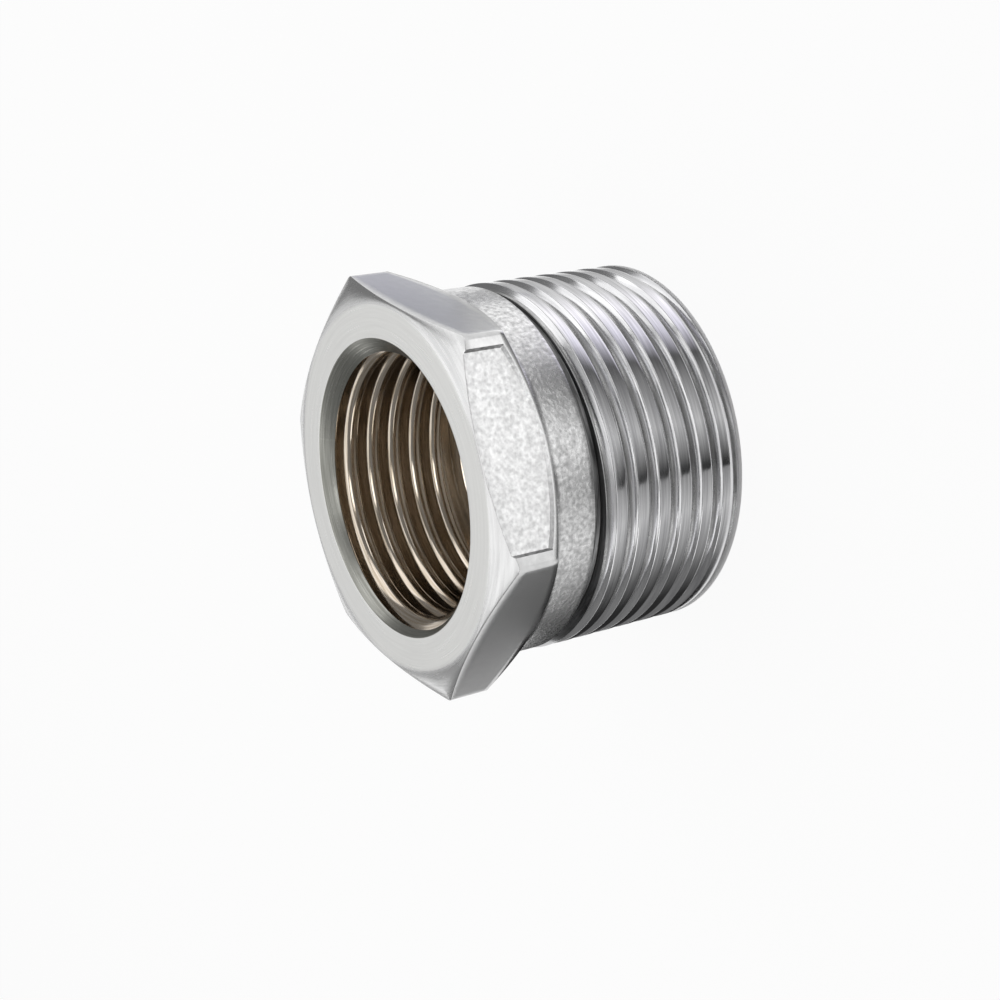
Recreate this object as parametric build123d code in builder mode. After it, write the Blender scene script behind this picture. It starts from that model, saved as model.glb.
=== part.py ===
from build123d import *
import os
from math import ceil, radians, tan

# A reducing hex bushing, cast in stainless steel and then machined.
# It stands on its threaded end: Z is the common axis of both threads,
# z = 0 is the thread end, and the hexagon and the open socket are at the top.
# Both screw threads are right-hand and parallel, 14 to the inch, with flanks
# at 55 degrees to each other, flat crests and sharp roots.

# ---- Driving dimensions, in millimetres and degrees ----

overall_length = 20.5

# Hexagon head
across_flats = 26.4
head_height = 5.1
corner_round = 0.5
face_circle_diameter = 26.0
face_chamfer_angle = 20.0
back_chamfer_angle = 33.0

# Sunk marking panel in the front flat
panel_rim = 0.85
panel_depth = 0.22
panel_wall_taper = 40.0
panel_back_edge = 3.5
panel_back_bow = 1.35

# Collar between the hexagon and the male thread
collar_diameter = 26.2
collar_length = 3.0

# Both threads
thread_pitch = 1.814
flank_angle = 55.0
groove_overshoot = 0.3
run_out_gap = 0.045

# Male thread
male_major_diameter = 26.44
male_crest_flat = 1.0
male_relief_clearance = 0.04
male_end_chamfer = 0.35
male_groove_angle = 44.8

# Female thread
female_major_diameter = 20.96
female_crest_flat = 0.65
female_thread_depth = 10.0
female_relief_clearance = 0.05
female_groove_angle = 6.1
mouth_edge_gap = 0.05

# Plain bore behind the female thread
bore_diameter = 18.2
bore_exit_chamfer = 0.5

# How far the cutters of the hexagon reach past the metal
cutter_overrun = 2.0

# ---- Sizes worked out from them ----

flat_apothem = across_flats / 2
side_length = across_flats * tan(radians(30))
collar_radius = collar_diameter / 2
head_base = overall_length - head_height
collar_base = head_base - collar_length

flank_slope = tan(radians(flank_angle / 2))
male_radius = male_major_diameter / 2
male_groove_width = thread_pitch - male_crest_flat
male_depth = male_groove_width / (2 * flank_slope)
male_root_radius = male_radius - male_depth
male_relief_radius = male_root_radius - male_relief_clearance
male_relief_width = male_groove_width + 2 * run_out_gap
male_thread_top = collar_base - male_relief_width

female_radius = female_major_diameter / 2
female_groove_width = thread_pitch - female_crest_flat
female_depth = female_groove_width / (2 * flank_slope)
female_core_radius = female_radius - female_depth
female_relief_radius = female_radius + female_relief_clearance
female_relief_width = female_groove_width + 2 * run_out_gap
female_thread_base = overall_length - female_thread_depth
female_relief_base = female_thread_base - female_relief_width
mouth_radius = female_radius + mouth_edge_gap
mouth_depth = mouth_radius - female_core_radius
bore_radius = bore_diameter / 2


def groove_turn(crest_radius, root_radius, groove_width):
    """One turn of a V-shaped helical groove, starting on the X axis at height zero.

    It narrows from its width at the crest radius to an edge at the root radius.
    Its mouth stands clear of the crests by the overshoot, so that the cut opens cleanly.
    """
    outward = 1 if crest_radius > root_radius else -1
    mouth = crest_radius + outward * groove_overshoot - root_radius
    mouth_half = groove_width / 2 + groove_overshoot * flank_slope
    with BuildLine() as path:
        Helix(thread_pitch, thread_pitch, root_radius)
    start = path.line @ 0
    with BuildSketch(Plane(origin=start, x_dir=(1, 0, 0), z_dir=path.line % 0)) as section:
        with BuildLine():
            Polyline(
                (mouth, mouth_half),
                (0, 0),
                (mouth, -mouth_half),
                close=True,
            )
        make_face()
    with BuildPart() as turn:
        sweep(sections=section.sketch, path=path.line, is_frenet=True)
    return turn.part


male_turn = groove_turn(male_radius, male_root_radius, male_groove_width)
female_turn = groove_turn(female_core_radius, female_radius, female_groove_width)

with BuildPart() as hex_bushing:
    # Turned body: thread blank, run-out relief and collar, one profile about Z.
    with BuildSketch(Plane.XZ):
        with BuildLine():
            Polyline(
                (0, 0),
                (male_radius - male_end_chamfer, 0),
                (male_radius, male_end_chamfer),
                (male_radius, male_thread_top),
                (male_relief_radius, male_thread_top),
                (male_relief_radius, collar_base),
                (collar_radius, collar_base),
                (collar_radius, head_base),
                (0, head_base),
                close=True,
            )
        make_face()
    revolve(axis=Axis.Z)

    # Hexagon with corners along +X and -X and a flat to the front.
    with BuildSketch(Plane.XY.offset(head_base)) as hexagon:
        RegularPolygon(radius=flat_apothem, side_count=6, major_radius=False)
        fillet(hexagon.vertices(), radius=corner_round)
    extrude(amount=head_height)

    # Both ends of the hexagon are turned to a cone, which leaves arcs on the flats.
    face_circle_radius = face_circle_diameter / 2
    corner_reach = side_length + cutter_overrun
    face_drop = (corner_reach - face_circle_radius) * tan(radians(face_chamfer_angle))
    back_rise = (corner_reach - collar_radius) * tan(radians(back_chamfer_angle))
    with BuildSketch(Plane.XZ):
        with BuildLine():
            Polyline(
                (face_circle_radius, overall_length),
                (corner_reach, overall_length),
                (corner_reach, overall_length - face_drop),
                close=True,
            )
        make_face()
        with BuildLine():
            Polyline(
                (collar_radius, head_base),
                (corner_reach, head_base),
                (corner_reach, head_base + back_rise),
                close=True,
            )
        make_face()
    revolve(axis=Axis.Z, mode=Mode.SUBTRACT)

    # Sunk panel in the front flat, open at the face, with a bowed back edge.
    panel_half = side_length / 2 - panel_rim
    panel_corner = overall_length - panel_back_edge
    front_flat = Plane(origin=(0, -flat_apothem, 0), x_dir=(1, 0, 0), z_dir=(0, -1, 0))
    with BuildSketch(front_flat):
        with BuildLine():
            ThreePointArc(
                (-panel_half, panel_corner),
                (0, panel_corner - panel_back_bow),
                (panel_half, panel_corner),
            )
            Polyline(
                (panel_half, panel_corner),
                (panel_half, overall_length + cutter_overrun),
                (-panel_half, overall_length + cutter_overrun),
                (-panel_half, panel_corner),
            )
        make_face()
    extrude(amount=-panel_depth, taper=panel_wall_taper, mode=Mode.SUBTRACT)

    # Socket and bore, one profile about Z: mouth chamfer, thread core, relief,
    # step and plain bore.
    with BuildSketch(Plane.XZ):
        with BuildLine():
            Polyline(
                (0, overall_length),
                (mouth_radius, overall_length),
                (female_core_radius, overall_length - mouth_depth),
                (female_core_radius, female_thread_base),
                (female_relief_radius, female_thread_base),
                (female_relief_radius, female_relief_base),
                (bore_radius, female_relief_base),
                (bore_radius, bore_exit_chamfer),
                (bore_radius + bore_exit_chamfer, 0),
                (0, 0),
                close=True,
            )
        make_face()
    revolve(axis=Axis.Z, mode=Mode.SUBTRACT)

    # Male thread: turn under turn, from the middle of the relief down past the end.
    male_run_out = collar_base - male_relief_width / 2
    male_turns = ceil(male_run_out / thread_pitch) + 1
    for turn in range(male_turns):
        with Locations((0, 0, male_run_out - (turn + 1) * thread_pitch)):
            add(male_turn, rotation=(0, 0, male_groove_angle), mode=Mode.SUBTRACT)

    # Female thread: turn over turn, from the middle of the inner relief up past the face.
    female_run_out = female_thread_base - female_relief_width / 2
    female_turns = ceil((overall_length - female_run_out) / thread_pitch) + 1
    for turn in range(female_turns):
        with Locations((0, 0, female_run_out + turn * thread_pitch)):
            add(female_turn, rotation=(0, 0, female_groove_angle), mode=Mode.SUBTRACT)

hex_bushing.part.label = "hex_bushing"
os.makedirs("parts", exist_ok=True)
export_step(hex_bushing.part, "parts/hex_bushing.step")
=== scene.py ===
# %% [markdown]
# # A reducing hex bushing in stainless steel
#
# A hex bushing joins a small pipe to a large port. It is one casting with a
# hexagon for the spanner, a short collar, a male thread outside and a smaller
# female thread inside.
#
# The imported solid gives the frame: where the part stands and how big it is.
# The threads of that solid are kept light, so this lesson builds a finer mesh
# of the same shape, with every edge slightly broken as a deburred part has it,
# and gives each turned, cast and pressed surface its own finish.

import math

import bmesh
import bpy
import numpy as np
from mathutils import Matrix, Vector


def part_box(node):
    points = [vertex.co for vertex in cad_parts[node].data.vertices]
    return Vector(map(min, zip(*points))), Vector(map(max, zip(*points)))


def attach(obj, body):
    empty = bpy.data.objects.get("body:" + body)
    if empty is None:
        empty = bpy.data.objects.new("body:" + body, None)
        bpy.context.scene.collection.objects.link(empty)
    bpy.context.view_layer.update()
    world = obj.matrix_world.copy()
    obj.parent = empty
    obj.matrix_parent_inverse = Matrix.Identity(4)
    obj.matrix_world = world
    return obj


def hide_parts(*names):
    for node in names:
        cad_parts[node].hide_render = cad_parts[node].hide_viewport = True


MM = 0.001

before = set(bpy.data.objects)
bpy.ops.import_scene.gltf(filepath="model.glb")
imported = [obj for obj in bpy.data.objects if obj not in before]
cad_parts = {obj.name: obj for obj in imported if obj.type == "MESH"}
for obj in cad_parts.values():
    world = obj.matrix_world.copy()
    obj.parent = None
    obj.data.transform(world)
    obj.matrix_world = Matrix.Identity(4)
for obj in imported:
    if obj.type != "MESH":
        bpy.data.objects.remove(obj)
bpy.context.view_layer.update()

# %% [markdown]
# ## Sizes
#
# The solid's own box gives the length and the thread's outside radius. The
# rest are the sizes that the solid was drawn with, in millimetres and degrees,
# so that the fine mesh lies on it everywhere.

# %% Sizes of the bushing
low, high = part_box("hex_bushing")
length = (high.z - low.z) / MM
male_radius = high.y / MM

across_flats = 26.4
head_height = 5.1
corner_round = 0.5
face_circle_radius = 13.0
face_chamfer_angle = 20.0
back_chamfer_angle = 33.0

collar_radius = 13.1
collar_length = 3.0

thread_pitch = 1.814
half_thread_angle = 27.5
flank_slope = math.tan(math.radians(half_thread_angle))
male_crest_flat = 1.0
male_end_chamfer = 0.35
female_radius = 10.48
female_crest_flat = 0.65
female_thread_depth = 10.0
run_out_gap = 0.045
male_relief_extra = 0.04
female_relief_extra = 0.05
mouth_extra = 0.05
mouth_radius = female_radius + mouth_extra
bore_radius = 9.1
bore_exit_chamfer = 0.5

apothem = across_flats / 2
head_base = length - head_height
collar_base = head_base - collar_length

male_groove = thread_pitch - male_crest_flat
male_root_radius = male_radius - male_groove / (2 * flank_slope)
male_relief_radius = male_root_radius - male_relief_extra
male_thread_top = collar_base - male_groove - 2 * run_out_gap
male_run_out = (collar_base + male_thread_top) / 2

female_groove = thread_pitch - female_crest_flat
female_core_radius = female_radius - female_groove / (2 * flank_slope)
female_relief_radius = female_radius + female_relief_extra
female_thread_base = length - female_thread_depth
female_relief_base = female_thread_base - female_groove - 2 * run_out_gap
female_run_out = (female_thread_base + female_relief_base) / 2
male_depth = male_radius - male_root_radius
female_depth = female_radius - female_core_radius
print("thread depths in mm, male and female:", round(male_depth, 3), round(female_depth, 3))

# Where round the part each groove passes its run-out, in degrees.
male_groove_angle = 44.8
female_groove_angle = 6.1

# %% [markdown]
# ## The columns of the mesh
#
# The bushing is round nearly everywhere, so its mesh is a set of upright
# columns round the axis, each with the same number of points along the
# part's profile. Columns stand a little over a degree apart, and closer at
# the hexagon's six rounded corners and at the two side walls of the sunk
# panel, where the shape turns quickly. A column at exactly the right angle
# keeps each of those edges sharp without a finer mesh all round. The last
# column stands on the first one, a full turn later, where the helix has
# climbed by one pitch.

# %% Angles of the columns
panel_rim = 0.85
panel_depth = 0.22
panel_wall_angle = 40.0
panel_wall = panel_depth * math.tan(math.radians(panel_wall_angle))
half_flat_turn = math.radians(30)
panel_half = apothem * math.tan(half_flat_turn) - panel_rim
panel_floor_half = panel_half - panel_wall
panel_back_edge = 3.5
panel_back_bow = 1.35

# Each corner is rounded about a centre, and the round ends at this turn from it.
corner_centre = (apothem - corner_round) / math.cos(half_flat_turn)
corner_end = corner_centre + corner_round * math.cos(half_flat_turn)
corner_turn = math.degrees(math.atan2(corner_round / 2, corner_end))
panel_edge_angle = math.degrees(math.atan2(panel_half, apothem))
panel_floor_angle = math.degrees(math.atan2(panel_floor_half, apothem - panel_depth))
front_flat = 270.0
column_step = 1.3
columns_in_corner = 6

# The panel's side walls get a column just inside each of their two edges.
wall_shares = (0.0, 0.15, 0.85, 1.0)
panel_wall_angles = [
    panel_edge_angle + share * (panel_floor_angle - panel_edge_angle) for share in wall_shares
]


def spread(start, stop, step):
    """Evenly spaced angles from start up to, but not including, stop."""
    count = max(1, round((stop - start) / step))
    return np.linspace(start, stop, count, endpoint=False)


def column_angles():
    """Angles of all columns, in degrees from +X, once round the part."""
    angles = []
    for corner in range(0, 360, 60):
        fine_step = 2 * corner_turn / columns_in_corner
        angles.append(spread(corner - corner_turn, corner + corner_turn, fine_step))
        flat = corner + 30
        edges = [corner + corner_turn]
        if flat == front_flat:
            edges += [flat - angle for angle in panel_wall_angles]
            edges += [flat + angle for angle in reversed(panel_wall_angles)]
        edges.append(corner + 60 - corner_turn)
        for start, stop in zip(edges, edges[1:]):
            angles.append(spread(start, stop, column_step))
    return np.concatenate(angles)


column_deg = column_angles()
column_deg = np.append(column_deg, column_deg[0] + 360)
column_rad = np.radians(column_deg)
print("columns:", len(column_deg))

# %% [markdown]
# ## The threads
#
# A screw thread is one V-shaped groove wound round the part at a constant
# pitch. Along one column the groove comes by once per pitch, and a little
# higher from column to column. So each row of the mesh follows the helix, and
# the crest's two edges stay clean lines all the way. Modelling it straight
# up and bending it, or cutting it with a boolean, would leave ragged edges.
#
# The profile of one pitch is a list of offset and radius. The corners of a
# real crest are broken by the tool and by rumbling, so each is a small arc.
# The female ridges are rounder on their upper side, which gives each of them
# a wide highlight.


# %% Profile of one pitch
# An arc may take this share of a leg of the line: most of it at the line's
# ends, and just under half of it where two arcs share the leg.
end_leg_share = 0.9
shared_leg_share = 0.48


def soften(points, sizes, steps):
    """Replaces each inner corner of an (a, b) polyline with a small arc of its own size."""
    points = np.asarray(points, float)
    out = [points[0]]
    for k, size in enumerate(sizes, 1):
        before, corner, after = points[k - 1 : k + 2]
        into, away = corner - before, after - corner
        room_before = end_leg_share if k == 1 else shared_leg_share
        room_after = end_leg_share if k == len(sizes) else shared_leg_share
        start = corner - into * min(size / np.linalg.norm(into), room_before)
        stop = corner + away * min(size / np.linalg.norm(away), room_after)
        for step in range(steps + 1):
            t = step / steps
            out.append((1 - t) ** 2 * start + 2 * t * (1 - t) * corner + t**2 * stop)
    out.append(points[-1])
    return np.array(out)


row_step = 0.25
steps_in_arc = 5

# How far from its corner each arc begins, in mm: below the groove, at its
# root and above it.
male_rounds = (0.05, 0.4, 0.3)
female_rounds = (0.7, 0.2, 0.3)


def pitch_profile(crest_radius, root_radius, groove_width, rounds):
    """(offset, radius) over one pitch, with the groove in its middle."""
    half = thread_pitch / 2
    edge = groove_width / 2
    corners = [
        (-half, crest_radius),
        (-edge, crest_radius),
        (0, root_radius),
        (edge, crest_radius),
        (half, crest_radius),
    ]
    fine = soften(corners, rounds, steps_in_arc)
    offsets = []
    for start, stop in zip(fine[:-1, 0], fine[1:, 0]):
        offsets.extend(spread(start, stop, row_step))
    offsets = np.append(offsets, half)
    return np.stack([offsets, np.interp(offsets, fine[:, 0], fine[:, 1])], -1)


male_profile = pitch_profile(male_radius, male_root_radius, male_groove, male_rounds)
female_profile = pitch_profile(female_core_radius, female_radius, female_groove, female_rounds)
print("points in a pitch:", len(male_profile) - 1)


def thread_radius(profile, height, angle, run_out, groove_angle):
    """Radius of the thread at a height, for columns at an angle in degrees."""
    groove = run_out + thread_pitch * (angle - groove_angle) / 360
    offset = (height - groove + thread_pitch / 2) % thread_pitch - thread_pitch / 2
    return np.interp(offset, profile[:, 0], profile[:, 1])


def thread_rows(profile, bottom, top, run_out, groove_angle, trim):
    """Rows of (radius, height) that climb with the helix, held between bottom and top.

    bottom and top may differ from column to column. trim cuts a radius to the
    cone at a height. The last column meets the first one exactly, so that
    welding closes the turn.
    """
    angle = column_deg
    first = run_out + thread_pitch * (angle[0] - groove_angle) / 360
    turns_down = math.ceil((first - np.min(bottom)) / thread_pitch) + 1
    turns_up = math.ceil((np.max(top) - first) / thread_pitch) + 1
    rows = []
    for turn in range(-turns_down, turns_up + 1):
        for offset, radius in profile[:-1]:
            groove = run_out + thread_pitch * (turn + (angle - groove_angle) / 360)
            free = groove + offset
            height = np.clip(free, bottom, top)
            held = thread_radius(profile, height, angle, run_out, groove_angle)
            rows.append((trim(np.where(free == height, radius, held), height), height))
    return rows


# %% [markdown]
# ## The profile, row by row
#
# The rows start at the mouth of the bore in the thread end, go out over the
# end face, up the male thread, round the run-out relief, over the collar and
# the hexagon, across the face, and down the socket to where they began. Each
# row is a radius and a height for every column. A row also carries the name
# of the surface that starts there, which later picks its finish.
#
# The end chamfer and the mouth chamfer are cones that cut the thread. Each
# column looks for the height at which its thread meets the cone, and its rows
# stop there, so the chamfer's edge weaves in and out as on the turned part.
#
# Every edge is broken by a strip of narrow faces. At the hexagon's six
# corners the columns are narrow too, and there such a strip would tilt the
# shading of the long face beside it. So a long face has a guard row a little
# way in from its edge, and the tilt ends there.


# %% Rows of the outside
end_rim = male_radius - male_end_chamfer
edge_break = 0.06
guard = 0.3


def meet(profile, heights, cone_radius, outside, run_out, groove_angle):
    """For each column, the first height at which the cone no longer cuts the thread."""
    found = np.full(len(column_deg), heights[-1])
    waiting = np.ones(len(column_deg), bool)
    for height, cone in zip(heights, cone_radius):
        radius = thread_radius(profile, height, column_deg, run_out, groove_angle)
        clear = radius <= cone if outside else radius >= cone
        found = np.where(waiting & clear, height, found)
        waiting &= ~clear
    return found


def end_cone(height):
    """Radius of the chamfer on the thread end at a height."""
    return end_rim + height


def mouth_cone(height):
    """Radius of the cone in the socket's mouth at a height."""
    return mouth_radius - (length - height)


def ring(radius, height):
    """A row at one radius and height, or at one for each column."""
    size = len(column_deg)
    return np.broadcast_to(radius, size).astype(float), np.broadcast_to(height, size).astype(float)


rows = []
surfaces = []


def add_rows(surface, new_rows):
    """Adds rows, and names the surface that lies between each one and the next."""
    for row in new_rows:
        rows.append(row)
        surfaces.append(surface)


# Heights tried in the search for the end chamfer's edge.
end_samples = 36
end_heights = np.linspace(0, male_end_chamfer, end_samples)
male_bottom = meet(
    male_profile,
    end_heights,
    end_cone(end_heights),
    outside=True,
    run_out=male_run_out,
    groove_angle=male_groove_angle,
)
end_edge = np.minimum(
    end_rim, thread_radius(male_profile, 0.0, column_deg, male_run_out, male_groove_angle)
)
exit_round = 0.04
end_start = bore_radius + bore_exit_chamfer + exit_round
add_rows("end", [ring(end_start, 0), ring(end_edge - edge_break, 0)])
add_rows("thread", [ring(end_edge, 0.0)])
male_rows = thread_rows(
    male_profile,
    male_bottom,
    male_thread_top,
    male_run_out,
    male_groove_angle,
    trim=lambda radius, height: np.minimum(radius, end_cone(height)),
)

# Offsets from the groove's middle between which its wall and root take the
# flank finish, which is rougher and darker with painted shade.
flank_low = -0.38
flank_high = 0.22
turn_names = [
    "flank" if flank_low < offset < flank_high else "thread" for offset in male_profile[:-1, 0]
]
for k, row in enumerate(male_rows):
    add_rows(turn_names[k % len(turn_names)], [row])
print("rows on the male thread:", len(male_rows))

# The relief's inner corners keep the small radius of the grooving tool.
relief_corner = 0.08
relief_corner_middle = 0.02
add_rows(
    "relief",
    [
        ring(male_relief_radius + relief_corner, male_thread_top),
        ring(male_relief_radius + relief_corner_middle, male_thread_top + relief_corner_middle),
        ring(male_relief_radius, male_thread_top + relief_corner),
        ring(male_relief_radius, collar_base - relief_corner),
        ring(male_relief_radius + relief_corner_middle, collar_base - relief_corner_middle),
        ring(male_relief_radius + relief_corner, collar_base),
        ring(collar_radius - edge_break, collar_base),
    ],
)
collar_break_middle = 0.018
under_head = 0.1
add_rows(
    "collar",
    [
        ring(collar_radius - collar_break_middle, collar_base + collar_break_middle),
        ring(collar_radius, collar_base + edge_break),
        ring(collar_radius, collar_base + guard),
        ring(collar_radius, (collar_base + head_base) / 2),
        ring(collar_radius, head_base - guard),
        ring(collar_radius, head_base - under_head),
    ],
)

# %% [markdown]
# ## The hexagon
#
# The spanner flats are planes and the chamfers on both ends are cones, and
# where they meet the flats show the arcs that every turned hexagon has. Each
# column knows how far out the flat lies at its angle, and where the two cones
# cut it there, so those arcs come out by themselves.
#
# One flat has a sunk panel, a shallow field that the casting leaves for
# marks. It is left bare here. Its back edge is a bow, and it is open at the
# face. Rows follow the bow, and columns follow its two side walls.

# %% Rows of the hexagon
near_corner = np.radians(column_deg - 60 * np.round(column_deg / 60))
from_flat = np.radians((column_deg % 60) - 30)
flat_radius = apothem / np.cos(from_flat)
corner_reach = corner_centre * np.cos(near_corner) + np.sqrt(
    np.maximum(corner_round**2 - (corner_centre * np.sin(near_corner)) ** 2, 0)
)
in_corner = np.abs(np.degrees(near_corner)) < corner_turn
side_radius = np.where(in_corner, corner_reach, flat_radius)

face_slope = math.tan(math.radians(face_chamfer_angle))
back_slope = math.tan(math.radians(back_chamfer_angle))
from_front = column_deg - front_flat
angle_slack = 1e-6
by_panel = np.abs(from_front) <= panel_edge_angle + angle_slack
wall_width = panel_edge_angle - panel_floor_angle
column_share = np.clip((panel_edge_angle - np.abs(from_front)) / wall_width, 0, 1)


def sunk_radius(share):
    """Radius of each column where the panel's wall has gone that share of its depth."""
    depth = panel_depth * np.minimum(column_share, share)
    return np.where(by_panel, (apothem - depth) / np.cos(np.radians(from_front)), side_radius)


panel_radius = sunk_radius(1.0)


def back_height(radius):
    """Height at which the back cone reaches that radius."""
    return head_base + back_slope * (radius - collar_radius)


def face_height(radius):
    """Height at which the face cone reaches that radius."""
    return length - face_slope * np.maximum(radius - face_circle_radius, 0)


back_edge = back_height(side_radius)
flat_edge = face_height(side_radius)
floor_edge = face_height(panel_radius)

# The bow of the panel's back edge is an arc through its ends and its middle.
bow_radius = (panel_half**2 + panel_back_bow**2) / (2 * panel_back_bow)
across = np.clip(apothem * np.tan(np.radians(from_front)), -panel_half, panel_half)
across = np.where(by_panel, across, panel_half)
bow = length - panel_back_edge - panel_back_bow + bow_radius - np.sqrt(bow_radius**2 - across**2)

# Past the panel, its two rows run on at the same share of the flat's height.
ends_at = int(np.argmin(np.abs(np.abs(from_front) - panel_edge_angle)))
share = (bow[ends_at] - back_edge[ends_at]) / (flat_edge[ends_at] - back_edge[ends_at])
wall_share = panel_wall / (flat_edge[ends_at] - back_edge[ends_at])
bow = np.where(by_panel, bow, back_edge + share * (flat_edge - back_edge))
wall_top = np.where(by_panel, bow + panel_wall, bow + wall_share * (flat_edge - back_edge))

# In the middle of each flat the back cone is narrow, so its rows are held to
# a share of its width.
inner_break, inner_share = 0.05, 0.3
outer_break, outer_share = 0.1, 0.4
break_share = 0.25
back_width = side_radius - collar_radius
back_start = collar_radius + np.minimum(inner_break, inner_share * back_width)
back_break = np.minimum(outer_break, outer_share * back_width)
back_stop = side_radius - back_break
flat_start = 0.05
bow_break = 0.04
panel_shares = (0.25, 0.5, 0.75)
add_rows("back", [ring(back_start, back_height(back_start))])
add_rows("back", [ring(back_stop, back_height(back_stop))])
add_rows(
    "flat",
    [
        ring(side_radius - break_share * back_break, back_edge),
        ring(side_radius, back_edge + flat_start),
        ring(side_radius, bow - bow_break),
    ],
)
wall_rows = [ring(sunk_radius(share), bow + share * (wall_top - bow)) for share in wall_shares]
panel_rows = [wall_rows.pop()]
add_rows("wall", wall_rows)
for part in panel_shares:
    panel_rows.append(ring(panel_radius, wall_top + part * (floor_edge - wall_top)))
panel_rows.append(ring(panel_radius, floor_edge - edge_break))
add_rows("panel", panel_rows)

chamfer_start = panel_radius - edge_break
least_chamfer = 0.02
face_rim = np.minimum(face_circle_radius, chamfer_start - least_chamfer)
chamfer_middle = (chamfer_start + face_rim) / 2
add_rows(
    "chamfer",
    [
        ring(panel_radius - break_share * edge_break, floor_edge - break_share * edge_break),
        ring(chamfer_start, face_height(chamfer_start)),
        ring(chamfer_middle, face_height(chamfer_middle)),
    ],
)
face_break = 0.15
face_guard = 0.4
add_rows("face", [ring(face_rim - face_break, length), ring(face_rim - face_guard, length)])
print("corners reach", round(float(side_radius.max()), 3), "mm")

# %% [markdown]
# ## Down the socket
#
# A cone at the mouth leads the pipe in and cuts the first turn of the female
# thread. At the bottom the groove runs out into a relief, and behind it lies
# the plain bore.

# %% Rows of the socket
mouth_samples = 120
add_rows("face", [ring(mouth_radius + guard, length), ring(mouth_radius + edge_break, length)])
mouth_depths = np.linspace(0, mouth_radius - female_core_radius, mouth_samples)
mouth_heights = length - mouth_depths
female_top = meet(
    female_profile,
    mouth_heights,
    mouth_cone(mouth_heights),
    outside=False,
    run_out=female_run_out,
    groove_angle=female_groove_angle,
)
female_rows = thread_rows(
    female_profile,
    female_thread_base,
    female_top,
    female_run_out,
    female_groove_angle,
    trim=lambda radius, height: np.maximum(radius, mouth_cone(height)),
)

# The mouth's edge, each row as how far out and how far down it lies.
for out, down in ((0.005, 0.01), (-0.04, 0.04)):
    add_rows("mouth", [ring(mouth_radius + out, length - down)])
add_rows("socket", female_rows[::-1])

socket_corner = 0.05
bore_corner = 0.1
exit_break = 0.05
exit_middle = 0.03
add_rows(
    "socket",
    [
        ring(female_relief_radius - socket_corner, female_thread_base),
        ring(female_relief_radius, female_thread_base - socket_corner),
        ring(female_relief_radius, female_relief_base + socket_corner),
        ring(female_relief_radius - socket_corner, female_relief_base),
        ring(bore_radius + bore_corner, female_relief_base),
        ring(bore_radius, female_relief_base - bore_corner),
        ring(bore_radius, female_relief_base - guard),
        ring(bore_radius, bore_exit_chamfer + guard),
        ring(bore_radius, bore_exit_chamfer + exit_break),
        ring(bore_radius + exit_middle, bore_exit_chamfer - exit_middle),
        ring(bore_radius + bore_exit_chamfer - exit_round, exit_round),
    ],
)
print("rows in all:", len(rows))

# %% [markdown]
# ## Closing the mesh
#
# The grid of rows and columns becomes one mesh. Where rows were held at an
# edge their points coincide, and where a helix has gone once round it lands
# on the next turn's rows. Welding points that lie together removes the first
# kind and joins the second, and what is left is one closed skin.
#
# Three surfaces can't be told by their row alone. The sunk panel takes up a
# part of its rows, its two side walls stand between columns, and the mouth's
# cone cuts across the rows of the thread. Those are named by where they lie.

# %% Build the mesh
# Points this near each other are one point, and points this near the cone lie
# on it, in mm.
weld_distance = 5e-5
cone_tolerance = 0.003
sharp_angle = 30.0
normal_weight = 80


def build_bushing():
    """The fine mesh of the whole bushing, one closed skin, and its surfaces' names."""
    radius = np.array([row[0] for row in rows])
    height = np.array([row[1] for row in rows])
    points = np.stack([radius * np.cos(column_rad), radius * np.sin(column_rad), height], -1)
    count = len(column_deg)
    index = np.arange(radius.size).reshape(radius.shape)
    above = np.roll(index, -1, axis=0)
    faces = np.stack([index[:, :-1], index[:, 1:], above[:, 1:], above[:, :-1]], -1)
    names = list(dict.fromkeys(surfaces))
    mesh = bpy.data.meshes.new("bushing_skin")
    mesh.from_pydata((points.reshape(-1, 3) * MM).tolist(), [], faces.reshape(-1, 4).tolist())
    finish = np.repeat([names.index(name) for name in surfaces], count - 1).reshape(-1, count - 1)
    middle = np.abs((from_front[:-1] + from_front[1:]) / 2)
    sunk = (finish == names.index("panel")) | (finish == names.index("wall"))
    finish[(finish == names.index("panel")) & (middle > panel_floor_angle)] = names.index("wall")
    finish[sunk & (middle > panel_edge_angle)] = names.index("flat")
    finish[sunk & (middle < panel_floor_angle)] = names.index("panel")
    on_cone = np.abs(radius - mouth_cone(height)) < cone_tolerance
    on_cone = on_cone[:, :-1] & on_cone[:, 1:]
    finish[on_cone & np.roll(on_cone, -1, axis=0)] = names.index("mouth")
    mesh.polygons.foreach_set("material_index", finish.ravel())
    skin = bmesh.new()
    skin.from_mesh(mesh)
    bmesh.ops.remove_doubles(skin, verts=skin.verts, dist=weld_distance * MM)
    bmesh.ops.dissolve_degenerate(skin, edges=skin.edges, dist=weld_distance * MM)
    open_edges = sum(1 for edge in skin.edges if not edge.is_manifold)
    print(len(skin.faces), "faces,", open_edges, "open edges")
    print("volume in mm3:", round(skin.calc_volume() / MM**3, 1))
    skin.to_mesh(mesh)
    skin.free()
    mesh.shade_smooth()
    mesh.set_sharp_from_angle(angle=math.radians(sharp_angle))
    return mesh, names


bushing_mesh, surface_names = build_bushing()
bushing = bpy.data.objects.new("hex_bushing_skin", bushing_mesh)
bpy.context.scene.collection.objects.link(bushing)
weighted = bushing.modifiers.new("flat faces stay flat", "WEIGHTED_NORMAL")
weighted.weight = normal_weight
weighted.keep_sharp = True
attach(bushing, "root")
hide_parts("hex_bushing")
print("surfaces:", surface_names)

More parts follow.
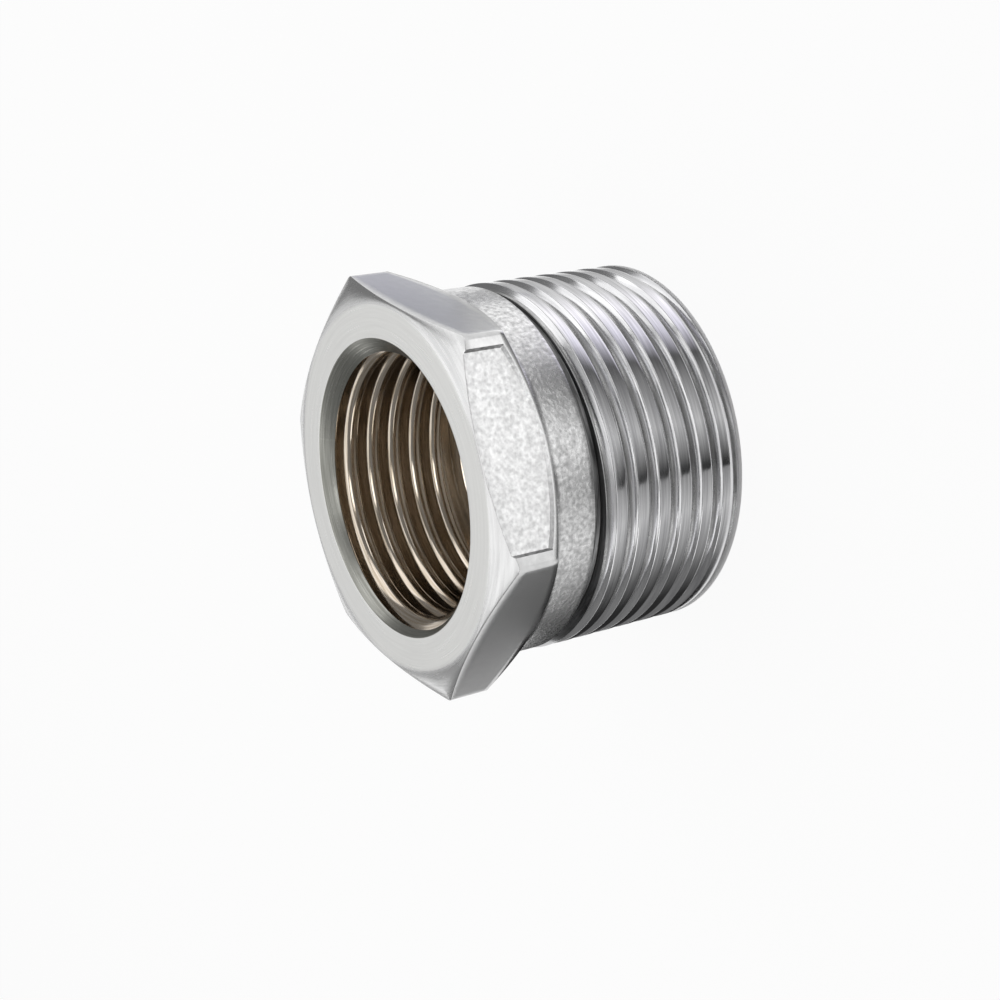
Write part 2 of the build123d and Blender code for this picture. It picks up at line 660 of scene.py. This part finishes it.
# %% [markdown]
# ## Finishes
#
# All of it is the same cast stainless steel, grade 304 or alike. What the eye
# tells apart is how each surface was made: turned, cut with a thread, cast or
# pressed. One function makes every finish, and what differs is the bright and
# the dull tone, the roughness, and the marks: their size, which way they run
# and how high they are. Each surface then gets its own short section.

# %% Helpers for materials


def linear(hex_colour):
    """An sRGB hex colour as linear red, green, blue and alpha."""
    parts = [int(hex_colour[k : k + 2], 16) / 255 for k in (1, 3, 5)]
    return [c / 12.92 if c <= 0.04045 else ((c + 0.055) / 1.055) ** 2.4 for c in parts] + [1.0]


def add_node(material, kind, links=None, **settings):
    """Adds a node. links maps an input to the socket that feeds it, settings are values by name."""
    node = material.node_tree.nodes.new(kind)
    for name, value in settings.items():
        if hasattr(node, name):
            setattr(node, name, value)
        else:
            node.inputs[name.replace("_", " ")].default_value = value
    for name, source in (links or {}).items():
        material.node_tree.links.new(source, node.inputs[name])
    return node


def new_material(name):
    """An empty node material and its output node."""
    material = bpy.data.materials.new(name)
    material.use_nodes = True
    material.node_tree.nodes.clear()
    output = material.node_tree.nodes.new("ShaderNodeOutputMaterial")
    return material, output


print("a mid grey is", round(linear("#808080")[0], 3), "in linear light")

# %% [markdown]
# ### Which way the marks run
#
# A texture needs a place to look up. For a casting the place on the part, in
# millimetres, does: its grain is the same in every direction. A tool mark on
# a lathe is long round the part and fine across. Stretching the place does
# that: the direction from the axis changes slowly, and the way along the
# profile changes fast.

# %% Places for textures


def cast_place(material, grain):
    """The place on the part, counted in grains; grain is a grain's size in mm."""
    place = add_node(material, "ShaderNodeTexCoord")
    size = 1 / (grain * MM)
    links = {"Vector": place.outputs["Object"]}
    return add_node(material, "ShaderNodeMapping", links, Scale=(size, size, size)).outputs["Vector"]


def turned_place(material, feed, streak):
    """The place on a turned surface; feed is a mark's width and streak its length, in mm."""
    place = add_node(material, "ShaderNodeTexCoord").outputs["Object"]
    flat_links = {0: place}
    level = add_node(material, "ShaderNodeVectorMath", flat_links, operation="MULTIPLY")
    level.inputs[1].default_value = (1, 1, 0)
    radius = add_node(material, "ShaderNodeVectorMath", {0: level.outputs[0]}, operation="LENGTH")
    outward = add_node(material, "ShaderNodeVectorMath", {0: level.outputs[0]}, operation="NORMALIZE")
    round_links = {0: outward.outputs[0]}
    round_part = add_node(material, "ShaderNodeVectorMath", round_links, operation="SCALE")
    round_part.inputs["Scale"].default_value = male_radius / streak
    height = add_node(material, "ShaderNodeSeparateXYZ", {0: place}).outputs["Z"]
    along_links = {0: height, 1: radius.outputs["Value"]}
    along = add_node(material, "ShaderNodeMath", along_links, operation="ADD")
    fine = add_node(material, "ShaderNodeMath", {0: along.outputs[0]}, operation="MULTIPLY")
    fine.inputs[1].default_value = 1 / (feed * MM)
    upright = add_node(material, "ShaderNodeCombineXYZ", {"Z": fine.outputs[0]})
    both = {0: round_part.outputs[0], 1: upright.outputs[0]}
    return add_node(material, "ShaderNodeVectorMath", both, operation="ADD").outputs[0]


print("way round the thread:", round(2 * math.pi * male_radius, 1), "mm")

# %% [markdown]
# ### One steel, many surfaces
#
# The metal is a Principled shader at full Metallic. A noise at the size of
# the marks changes three things together, as a real mark does: the height of
# the surface, how rough it is, and how bright, because dirt and oxide stay in
# the low places.

# %% A function for a steel surface
# Noise stays near its middle, so the dull tone is reached at the first of
# these levels and the bright tone at the second.
dull_level = 0.3
bright_level = 0.7
noise_detail = 3.0


def steel(name, bright, dull, roughness, marks, depth, rough_change=0.05):
    """Stainless steel from a dull to a bright tone; depth is the marks' height in mm."""
    material, output = new_material(name)
    find_place, *sizes = marks
    noise_links = {"Vector": find_place(material, *sizes)}
    noise = add_node(material, "ShaderNodeTexNoise", noise_links, Scale=1.0, Detail=noise_detail)
    height = noise.outputs["Fac"]
    tone = add_node(material, "ShaderNodeValToRGB", {"Fac": height})
    tone.color_ramp.elements[0].position = dull_level
    tone.color_ramp.elements[0].color = linear(dull)
    tone.color_ramp.elements[1].position = bright_level
    tone.color_ramp.elements[1].color = linear(bright)
    rough = add_node(material, "ShaderNodeMapRange", {"Value": height})
    rough.inputs["From Min"].default_value = dull_level
    rough.inputs["From Max"].default_value = bright_level
    rough.inputs["To Min"].default_value = roughness + rough_change
    rough.inputs["To Max"].default_value = roughness - rough_change
    bump_links = {"Height": height}
    bump = add_node(material, "ShaderNodeBump", bump_links, Strength=1.0, Distance=depth * MM)
    links = {
        "Base Color": tone.outputs["Color"],
        "Roughness": rough.outputs["Result"],
        "Normal": bump.outputs["Normal"],
    }
    shader = add_node(material, "ShaderNodeBsdfPrincipled", links, Metallic=1.0)
    material.node_tree.links.new(shader.outputs["BSDF"], output.inputs["Surface"])
    print("made", name)
    return material


def turned(feed, streak):
    """Marks of a lathe: feed is their width and streak their length, in mm."""
    return turned_place, feed, streak


def cast(grain):
    """The skin of a casting: grain is the size of its grains, in mm."""
    return cast_place, grain


finishes = {}
print("finishes are made of", steel.__name__, "with marks", turned.__name__, "or", cast.__name__)

# %% [markdown]
# ### Faced ends
#
# Stainless steel faced on a lathe. The tool leaves rings about a tenth of a
# millimetre apart, drawn here at two tenths so that they show. They pull each
# highlight into a sheen that runs round the face, and hide any sharp mirror
# image. On the thread end the rings are a little deeper and duller.

# %% Steel of the faced ends
# Each call gives the name, the bright and the dull tone, the roughness, the
# marks and their height in mm.
finishes["face"] = steel(
    "turned_stainless_face", "#E0E0DE", "#D8D8D6", 0.31, turned(0.2, 6.0), 0.002
)
finishes["end"] = steel(
    "turned_stainless_end", "#DCDCDC", "#C4C4C4", 0.28, turned(0.2, 6.0), 0.004
)

# %% [markdown]
# ### Turned chamfers
#
# The cones at both ends of the hexagon, stainless steel turned in one short
# pass. The marks run round the cone, so a corner lights up as one broad patch
# and not as a spot. They are drawn about twice as wide as real ones. The back
# cone is a little rougher.

# %% Steel of the chamfers
finishes["chamfer"] = steel(
    "turned_stainless_chamfer", "#DADADA", "#CCCCCC", 0.26, turned(0.2, 5.0), 0.003
)
finishes["back"] = steel(
    "turned_stainless_back", "#D4D4D4", "#C0C0C0", 0.3, turned(0.2, 5.0), 0.004
)

# %% [markdown]
# ### The male thread
#
# Stainless steel cut by a threading tool. The crests keep the bright skin of
# the turned blank and mirror the studio in hard bands. The walls and the root
# of the groove were torn a little by the tool and are softer. Their darker
# tone is painted shade, the shade that falls in the groove.
# Tool marks here are about a twentieth of a millimetre wide, and are drawn
# three to four times as coarse.

# %% Steel of the male thread
finishes["thread"] = steel(
    "cut_stainless_thread", "#E4E4E5", "#BEBEC0", 0.15, turned(0.16, 5.0), 0.007
)
# The flank's darker tones are painted shade in the groove. Its higher roughness is the torn surface.
finishes["flank"] = steel(
    "cut_stainless_flank_painted_shade", "#D0D0D0", "#9C9C9C", 0.27, turned(0.2, 3.0), 0.01
)

# %% [markdown]
# ### The run-out relief
#
# Stainless steel plunged with a grooving tool, with marks a tenth of a
# millimetre wide, as real ones are. It is rough, and its dark tone is painted
# shade, the shade that falls in the narrow groove. It gives the eye a clean
# line between collar and thread.

# %% Steel of the relief
# The relief's dark tones are painted shade, the shade in the narrow groove.
finishes["relief"] = steel(
    "grooved_stainless_relief_painted_shade", "#8C8C8C", "#484848", 0.35, turned(0.1, 2.0), 0.01
)

# %% [markdown]
# ### The collar
#
# Stainless steel as it came from the mould, blasted clean. A real grain is a
# tenth to a third of a millimetre, and it is drawn at the coarse end. The
# bands of light from the thread go on over the collar, but broken up by it.

# %% Steel of the collar
finishes["collar"] = steel(
    "cast_stainless_collar", "#E4E4E4", "#ACACAC", 0.28, cast(0.3), 0.018
)

# %% [markdown]
# ### The sunk panel
#
# The same cast and blasted steel, which no spanner ever polishes. It is the
# palest surface of all, has the deepest grain, and reads as matt next to the
# flats. The narrow walls round it are dark with painted shade, the shade that
# falls in the step down to the panel, and so draw its outline dark.

# %% Steel of the panel and its walls
finishes["panel"] = steel(
    "blasted_stainless_panel", "#FFFFFF", "#DADADA", 0.4, cast(0.3), 0.036
)
# The walls' dark tones are painted shade along the edge of the sunk panel.
finishes["wall"] = steel(
    "stainless_panel_wall_painted_shade", "#A0A0A0", "#6C6C6C", 0.45, cast(0.3), 0.006
)

# %% [markdown]
# ### The spanner flats
#
# Stainless steel pressed smooth. What grain they have is half a millimetre
# across and hardly raised, so each flat takes one even tone and the hexagon
# reads at a glance.

# %% Steel of the flats
finishes["flat"] = steel(
    "pressed_stainless_flats",
    "#D8D8D8",
    "#CECECE",
    0.2,
    cast(0.5),
    0.0025,
    rough_change=0.015,
)

# %% [markdown]
# ### The socket
#
# Stainless steel cut by a tap and turned behind it, with a warm tone. It is
# smooth, so each ridge draws one warm line of light in the dark. The cone at
# its mouth is countersunk, and is greyer and duller. The marks of both are
# drawn three to four times as wide as real ones.

# %% Steel of the socket and its mouth
finishes["mouth"] = steel(
    "turned_stainless_mouth", "#A8A8A2", "#84847E", 0.3, turned(0.15, 6.0), 0.004
)
finishes["socket"] = steel(
    "tapped_stainless_socket", "#DED4C8", "#B4A692", 0.15, turned(0.2, 6.0), 0.0015
)

# %% Put the finishes on
for name in surface_names:
    bushing.data.materials.append(finishes[name])
print("finishes:", [finishes[name].name for name in surface_names])

# %% [markdown]
# ## The camera
#
# A short telephoto lens close by, looking down into the socket. The picture
# is turned on its side, so that the hexagon stands at the left and the thread
# points to the right. That is the camera's own roll, given here as the
# direction that is up in the picture.

# %% Camera
camera_data = bpy.data.cameras.new("camera")
camera_data.lens = 62.4
camera_data.sensor_width = 36
camera_data.clip_start = 0.005
camera = bpy.data.objects.new("camera", camera_data)
bpy.context.scene.collection.objects.link(camera)
camera_place = Vector((-7.512, -106.418, 75.858)) * MM
view = Vector((0.04183, 0.85681, -0.51394)).normalized()
up = Vector((0.97165, -0.15470, -0.17881)).normalized()
side = view.cross(up).normalized()
camera_turn = Matrix((side, side.cross(view), -view)).transposed()
camera.matrix_world = Matrix.Translation(camera_place) @ camera_turn.to_4x4()
bpy.context.scene.camera = camera
print("camera stands", round(camera_place.length / MM), "mm from the foot of the part")

# %% [markdown]
# ## The table
#
# A plain white table. It is a diffuse surface, mixed with a plain white glow
# for rays that come from the camera or from a mirror, so that the background
# is white without more light on the steel. A little of the diffuse surface
# shows through, and with it a faint shadow. Inside the bushing the glow
# stops: the table there lies in the part's shade, and the socket is dark as a
# real one is.

# %% Floor
table_reach = 3.0
table_white = 0.92
corners = [(-1, -1), (1, -1), (1, 1), (-1, 1)]
floor_mesh = bpy.data.meshes.new("table")
table_points = [(x * table_reach, y * table_reach, 0) for x, y in corners]
floor_mesh.from_pydata(table_points, [], [(0, 1, 2, 3)])
floor = bpy.data.objects.new("table", floor_mesh)
bpy.context.scene.collection.objects.link(floor)

table, output = new_material("white_table")
diffuse = add_node(table, "ShaderNodeBsdfDiffuse", Color=linear("#F2F2F2"))
glow = add_node(table, "ShaderNodeEmission", Color=linear("#FFFFFF"), Strength=1.0)
path = add_node(table, "ShaderNodeLightPath")
mirror_links = {0: path.outputs["Is Camera Ray"], 1: path.outputs["Is Glossy Ray"]}
mirrored = add_node(table, "ShaderNodeMath", mirror_links, operation="MAXIMUM")
glass_links = {0: mirrored.outputs[0], 1: path.outputs["Is Transmission Ray"]}
seen = add_node(table, "ShaderNodeMath", glass_links, operation="MAXIMUM")
place = add_node(table, "ShaderNodeTexCoord")
reach = add_node(table, "ShaderNodeVectorMath", {0: place.outputs["Object"]}, operation="LENGTH")
outside = add_node(table, "ShaderNodeMath", {0: reach.outputs["Value"]}, operation="GREATER_THAN")
outside.inputs[1].default_value = male_radius * MM
share_links = {0: seen.outputs[0], 1: outside.outputs[0]}
glow_share = add_node(table, "ShaderNodeMath", share_links, operation="MULTIPLY")
share_white = add_node(table, "ShaderNodeMath", {0: glow_share.outputs[0]}, operation="MULTIPLY")
share_white.inputs[1].default_value = table_white
mix_links = {0: share_white.outputs[0], 1: diffuse.outputs[0], 2: glow.outputs[0]}
mixed = add_node(table, "ShaderNodeMixShader", mix_links)
table.node_tree.links.new(mixed.outputs[0], output.inputs[0])
floor_mesh.materials.append(table)
print("table reaches", table_reach, "m each way")

# %% [markdown]
# ## Lamps
#
# Seven plain softboxes, each for what a mirror at some place of the part
# looks at. The overhead one hangs over the part and lights the chamfers. The
# back one stands behind it, where the hexagon's face mirrors it. Two low ones
# stand right and left of the camera and draw a line of light along the
# rounded edges of the thread. The front one is above the camera and lights
# the ridges in the socket. The top one lights the side that is up in the
# picture, and the corner one the chamfer at its foot.
#
# A grey world fills the rest. The camera alone sees it as white, so that in
# other views the table's far edge hardly shows.

# %% Lights
world = bpy.data.worlds.new("studio")
bpy.context.scene.world = world
world.use_nodes = True
background = world.node_tree.nodes["Background"]
background.inputs["Color"].default_value = linear("#808080")
background.inputs["Strength"].default_value = 1.0
seen_sky = add_node(world, "ShaderNodeBackground", Color=linear("#FDFDFD"), Strength=1.0)
sky_path = add_node(world, "ShaderNodeLightPath")
sky_links = {
    0: sky_path.outputs["Is Camera Ray"],
    1: background.outputs[0],
    2: seen_sky.outputs[0],
}
sky = add_node(world, "ShaderNodeMixShader", sky_links)
world.node_tree.links.new(sky.outputs[0], world.node_tree.nodes["World Output"].inputs[0])
bpy.context.scene.view_settings.view_transform = "Standard"


def softbox(name, azimuth, elevation, distance, size, brightness):
    """A square lamp that faces the part, sizes in mm; brightness is what a mirror shows of it."""
    lamp = bpy.data.lights.new(name, "AREA")
    lamp.shape = "SQUARE"
    lamp.size = size * MM
    lamp.energy = brightness * math.pi * (size * MM) ** 2
    obj = bpy.data.objects.new(name, lamp)
    bpy.context.scene.collection.objects.link(obj)
    turn, rise = math.radians(azimuth), math.radians(elevation)
    level = math.cos(rise)
    toward = Vector((math.cos(turn) * level, math.sin(turn) * level, math.sin(rise)))
    middle = Vector((0, 0, length / 2 * MM))
    obj.location = middle + toward * distance * MM
    obj.rotation_euler = (-toward).to_track_quat("-Z", "Y").to_euler()
    print(name, "gives", round(lamp.energy, 4), "W")


# In each line: azimuth and elevation in degrees, distance, size, brightness.
softbox("overhead_softbox", 97, 74, 260, 310, 1.07)
softbox("back_softbox", 84, 24, 400, 260, 0.62)
softbox("right_softbox", -52, 8, 300, 150, 1.5)
softbox("left_softbox", -158, 8, 300, 170, 2.0)
softbox("front_softbox", -94, 58, 300, 100, 2.4)
softbox("top_softbox", 8, 40, 300, 200, 1.2)
softbox("corner_softbox", 113, 16, 400, 90, 1.12)

# %% [markdown]
# ## Reflector cards
#
# A shiny turned part shows its surroundings, not its own colour. In a white
# studio it would look like plaster, so a photographer lays grey and black
# cards round it, and moves them until bands run along the thread. The place
# of a card follows from the mirror law: a ray from the camera meets the wall
# of the part, leaves at the same angle, and goes on to the table. Here the
# cards are one sheet for each kind of wall, with a tone for each place on the
# wall, and only mirror rays see them, so the table stays white. They lie
# still: from another side the bands fall elsewhere.
#
# A tone is about the grey that the steel should show there. Steel gives back
# about two thirds of the light, so the card is that much brighter.

# %% Cards
steel_reflects = 0.67
card_height = 0.15
turns_on_round = 180
steps_on_flat = 24


def on_the_table(point, normal):
    """Where the table shows up in a mirror at a point of the part, as the camera sees it; in mm."""
    point = Vector(point)
    ray = (point - camera_place / MM).normalized()
    ray = ray.reflect(Vector(normal))
    return point + ray * (card_height - point.z) / ray.z


def card(name, grid, tones):
    """A card from a grid of (point, normal); tones is a list of (place along the grid, grey)."""
    spots = [tuple(on_the_table(point, normal) * MM) for row in grid for point, normal in row]
    wide = len(grid[0])
    quads = [
        (i * wide + j, i * wide + j + 1, (i + 1) * wide + j + 1, (i + 1) * wide + j)
        for i in range(len(grid) - 1)
        for j in range(wide - 1)
    ]
    mesh = bpy.data.meshes.new(name)
    mesh.from_pydata(spots, [], quads)
    along = mesh.attributes.new("along", "FLOAT", "POINT")
    along.data.foreach_set("value", np.repeat(np.linspace(0, 1, len(grid)), wide))
    obj = bpy.data.objects.new(name, mesh)
    bpy.context.scene.collection.objects.link(obj)

    material, output = new_material(name)
    along_node = add_node(material, "ShaderNodeAttribute", attribute_name="along")
    ramp_node = add_node(material, "ShaderNodeValToRGB", {"Fac": along_node.outputs["Fac"]})
    stops = ramp_node.color_ramp.elements
    first, last = tones[0][0], tones[-1][0]
    for place, _ in tones[1:-1]:
        stops.new((place - first) / (last - first))
    for stop, (place, grey) in zip(stops, tones):
        stop.position = (place - first) / (last - first)
        stop.color = linear(grey)
    glow_links = {"Color": ramp_node.outputs["Color"]}
    glow = add_node(material, "ShaderNodeEmission", glow_links, Strength=1 / steel_reflects)
    material.node_tree.links.new(glow.outputs[0], output.inputs[0])
    mesh.materials.append(material)
    obj.visible_camera = False
    obj.visible_diffuse = False
    obj.visible_shadow = False
    obj.visible_transmission = False
    print(name, "has", len(tones), "tones")


def round_wall(radius, heights, tones):
    """Points and normals on a round wall, between the first tone's angle and the last's."""
    grid = []
    for turn in np.radians(np.linspace(tones[0][0], tones[-1][0], turns_on_round)):
        out = (math.cos(turn), math.sin(turn), 0)
        grid.append([((radius * out[0], radius * out[1], height), out) for height in heights])
    return grid


def flat_wall(facing, heights, tones):
    """Points and normals on a spanner flat, between the first tone's place and the last's."""
    out = np.array([math.cos(math.radians(facing)), math.sin(math.radians(facing)), 0])
    across = np.array([-out[1], out[0], 0])
    grid = []
    for place in np.linspace(tones[0][0], tones[-1][0], steps_on_flat):
        spot = apothem * out + place * across
        grid.append([(spot + np.array([0, 0, height]), out) for height in heights])
    return grid


# %% [markdown]
# The tones of the two round cards go round the part by angle, in degrees, from
# the top of the picture to its foot. The thread shows a bright band, a dark
# one, a lighter one, then a hard edge, light again, and darkness below. The
# collar mirrors the same studio, more softly. The tones of the flats' cards go
# across the flat, in mm from its middle.

# %% Tones of the cards
thread_tones = [
    (-10, "#F0F0F0"),
    (-15, "#F0F0F0"),
    (-23, "#A0A0A0"),
    (-40, "#CCCCCC"),
    # The bright band, a little violet.
    (-50, "#FCFAFF"),
    (-60, "#DCDAE6"),
    # The dark band, and the lighter one after it.
    (-71, "#505050"),
    (-92, "#B0B0B0"),
    (-105, "#303030"),
    # The hard edge.
    (-106.8, "#242424"),
    (-107.2, "#888888"),
    (-118, "#B4B4B4"),
    # Darkness below.
    (-140, "#585858"),
    (-152, "#282828"),
    (-164, "#202020"),
    (-176, "#404040"),
]
collar_tones = [
    (-10, "#C4C4C4"),
    (-20, "#F0F0F0"),
    (-31, "#989898"),
    (-40, "#FAFAFA"),
    (-50, "#FFFFFF"),
    (-60, "#D8D8D8"),
    (-70, "#202020"),
    (-80, "#949494"),
    (-90, "#F4F4F4"),
    (-105, "#B0B0B0"),
    (-122, "#E4E4E4"),
    (-140, "#585858"),
    (-150, "#505050"),
    (-158, "#000000"),
    (-176, "#000000"),
]
# Heights on the part, in mm, whose mirror images a card reaches through.
thread_heights = [0.9, 5, 8, 12]
collar_heights = [12, 13.5, 15.6]
flat_heights = [15.6, 26]
foot_flat_heights = [14, 28]
card("thread_card", round_wall(male_radius, thread_heights, thread_tones), thread_tones)
card("collar_card", round_wall(collar_radius, collar_heights, collar_tones), collar_tones)

top_tones = [(-12, "#84848E"), (-5, "#86888F"), (5, "#9E9EAA"), (12, "#A4A4B0")]
front_tones = [(-12, "#DCDCDC"), (-5, "#E2E2E2"), (5, "#FFFFFF"), (12, "#FFFFFF")]
foot_tones = [(-12, "#8C8C8C"), (-5, "#868686"), (0, "#585858"), (5, "#525252"), (12, "#505050")]
card("top_flat_card", flat_wall(-30, flat_heights, top_tones), top_tones)
card("front_flat_card", flat_wall(-90, flat_heights, front_tones), front_tones)
card("foot_flat_card", flat_wall(-150, foot_flat_heights, foot_tones), foot_tones)
